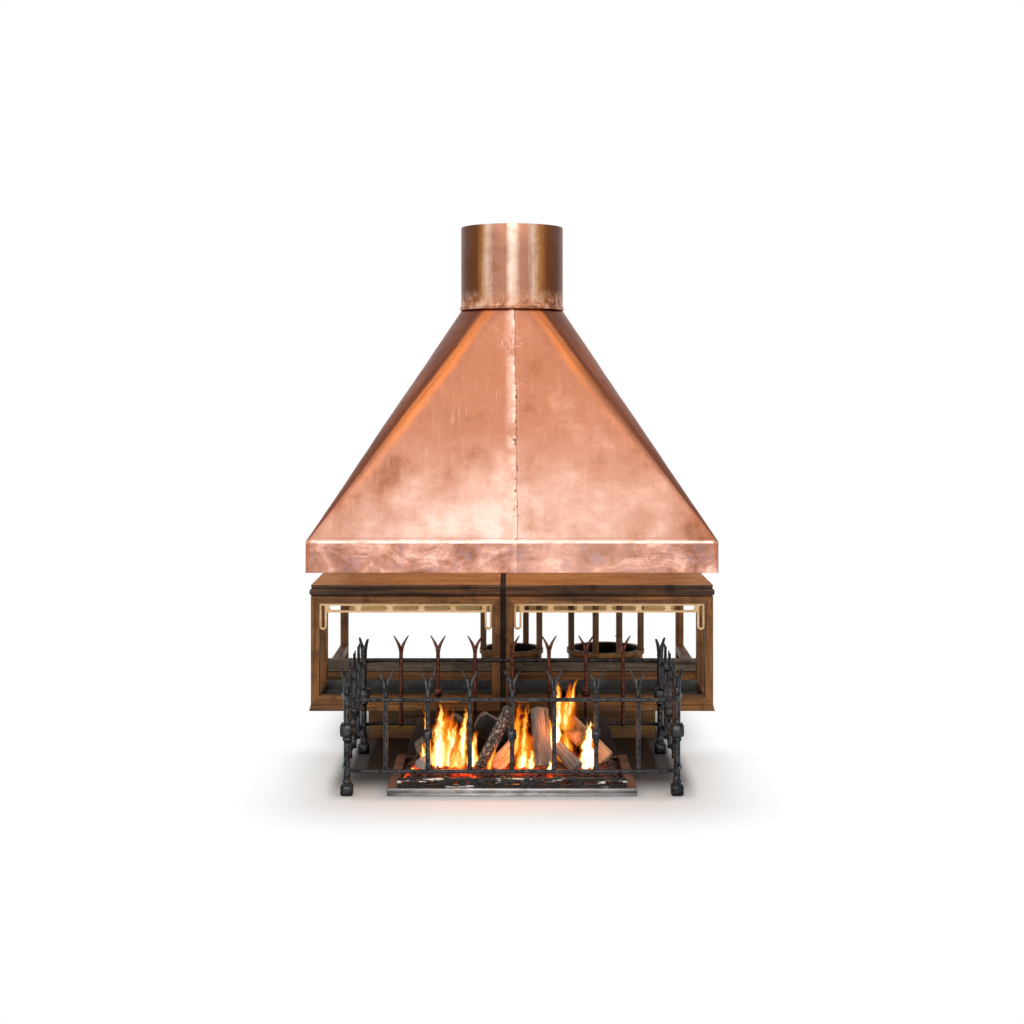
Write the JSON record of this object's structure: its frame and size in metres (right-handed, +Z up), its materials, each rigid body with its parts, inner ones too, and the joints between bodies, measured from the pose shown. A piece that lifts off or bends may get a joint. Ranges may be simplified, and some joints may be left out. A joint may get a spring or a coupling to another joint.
{
  "type": "gas fireplace",
  "caption": "Open gas log fire in a wrought fence, with a timber console behind it that carries a square-to-round copper hood and flue collar.",
  "frame": {"origin": "on the floor, under the middle of the whole object's box", "axes": "+Z up, +Y back from the fence towards the console, +X to the right seen from the front"},
  "size_m": [1.266, 1.2676, 1.594],
  "materials": {
    "copper": "worn satin copper sheet with patina clouds",
    "aged_copper": "browned copper tube",
    "steel": "brushed, lightly scuffed",
    "board_wood": "oiled boards with a dark worn edge",
    "frame_wood": "old brown stain, rubbed at the edges",
    "light_wood": "pale bare wood",
    "dark_wood": "dark stain",
    "plinth_wood": "brown planks",
    "slate": "honed dark slate",
    "wrought_iron": "hammered black iron with rust at the edges",
    "black_iron": "sooty black plate",
    "tray_metal": "heat-browned sheet",
    "gas_brass": "plain brass fittings",
    "ember": "crushed ember granules",
    "log_ceramic": "cast bark with charred patches"
  },
  "bodies": {
    "hearth": {"hood_canopy": "copper", "hood_skirt": "copper", "flue_collar": "aged_copper", "tray_front_bar": "steel", "hood_standoffs": "steel", "support_ring": "steel", "left_board": "board_wood", "right_board": "board_wood", "left_facing_frame": "frame_wood", "right_facing_frame": "frame_wood", "left_base_board": "frame_wood", "right_base_board": "frame_wood", "left_side_rails": "frame_wood", "right_side_rails": "frame_wood", "mid_posts": "frame_wood", "riser_board": "frame_wood", "riser_cap": "frame_wood", "gallery_side_rails": "frame_wood", "gallery_posts": "frame_wood", "gallery_rear_rails": "frame_wood", "centre_drum": "frame_wood", "right_drum": "frame_wood", "centre_drum_posts": "frame_wood", "right_drum_posts": "frame_wood", "left_apron": "light_wood", "right_apron": "light_wood", "centre_divider": "dark_wood", "gallery_deck": "dark_wood", "plinth_front": "plinth_wood", "plinth_carcass": "plinth_wood", "left_floor_slate": "slate", "right_floor_slate": "slate", "fence_top_rail": "wrought_iron", "fence_bottom_rail": "wrought_iron", "fence_front_bars": "wrought_iron", "fence_back_bars": "wrought_iron", "fence_left_bars": "wrought_iron", "fence_right_bars": "wrought_iron", "fence_front_left_post": "wrought_iron", "fence_front_right_post": "wrought_iron", "fence_back_left_post": "wrought_iron", "fence_back_right_post": "wrought_iron", "hearth_plate": "black_iron", "front_grate": "black_iron", "fireback": "black_iron", "burner_tray": "tray_metal", "burner_pipe": "gas_brass", "supply_pipe": "gas_brass", "gas_tap_body": "gas_brass", "ember_bed": "ember", "upright_log": "log_ceramic", "charred_log": "log_ceramic", "right_log": "log_ceramic", "left_back_log": "log_ceramic", "back_log": "log_ceramic", "left_small_log": "log_ceramic", "front_log": "log_ceramic", "centre_log": "log_ceramic"},
    "tap_lever": {"gas_tap_lever": "gas_brass"}
  },
  "joints": [
    {"name": "gas_tap_turn", "type": "hinge", "parent": "hearth", "child": "tap_lever", "pos_m": [0, -0.08825, 0.0318], "axis": [0, 0, 1], "range_deg": [0, 90]}
  ]
}
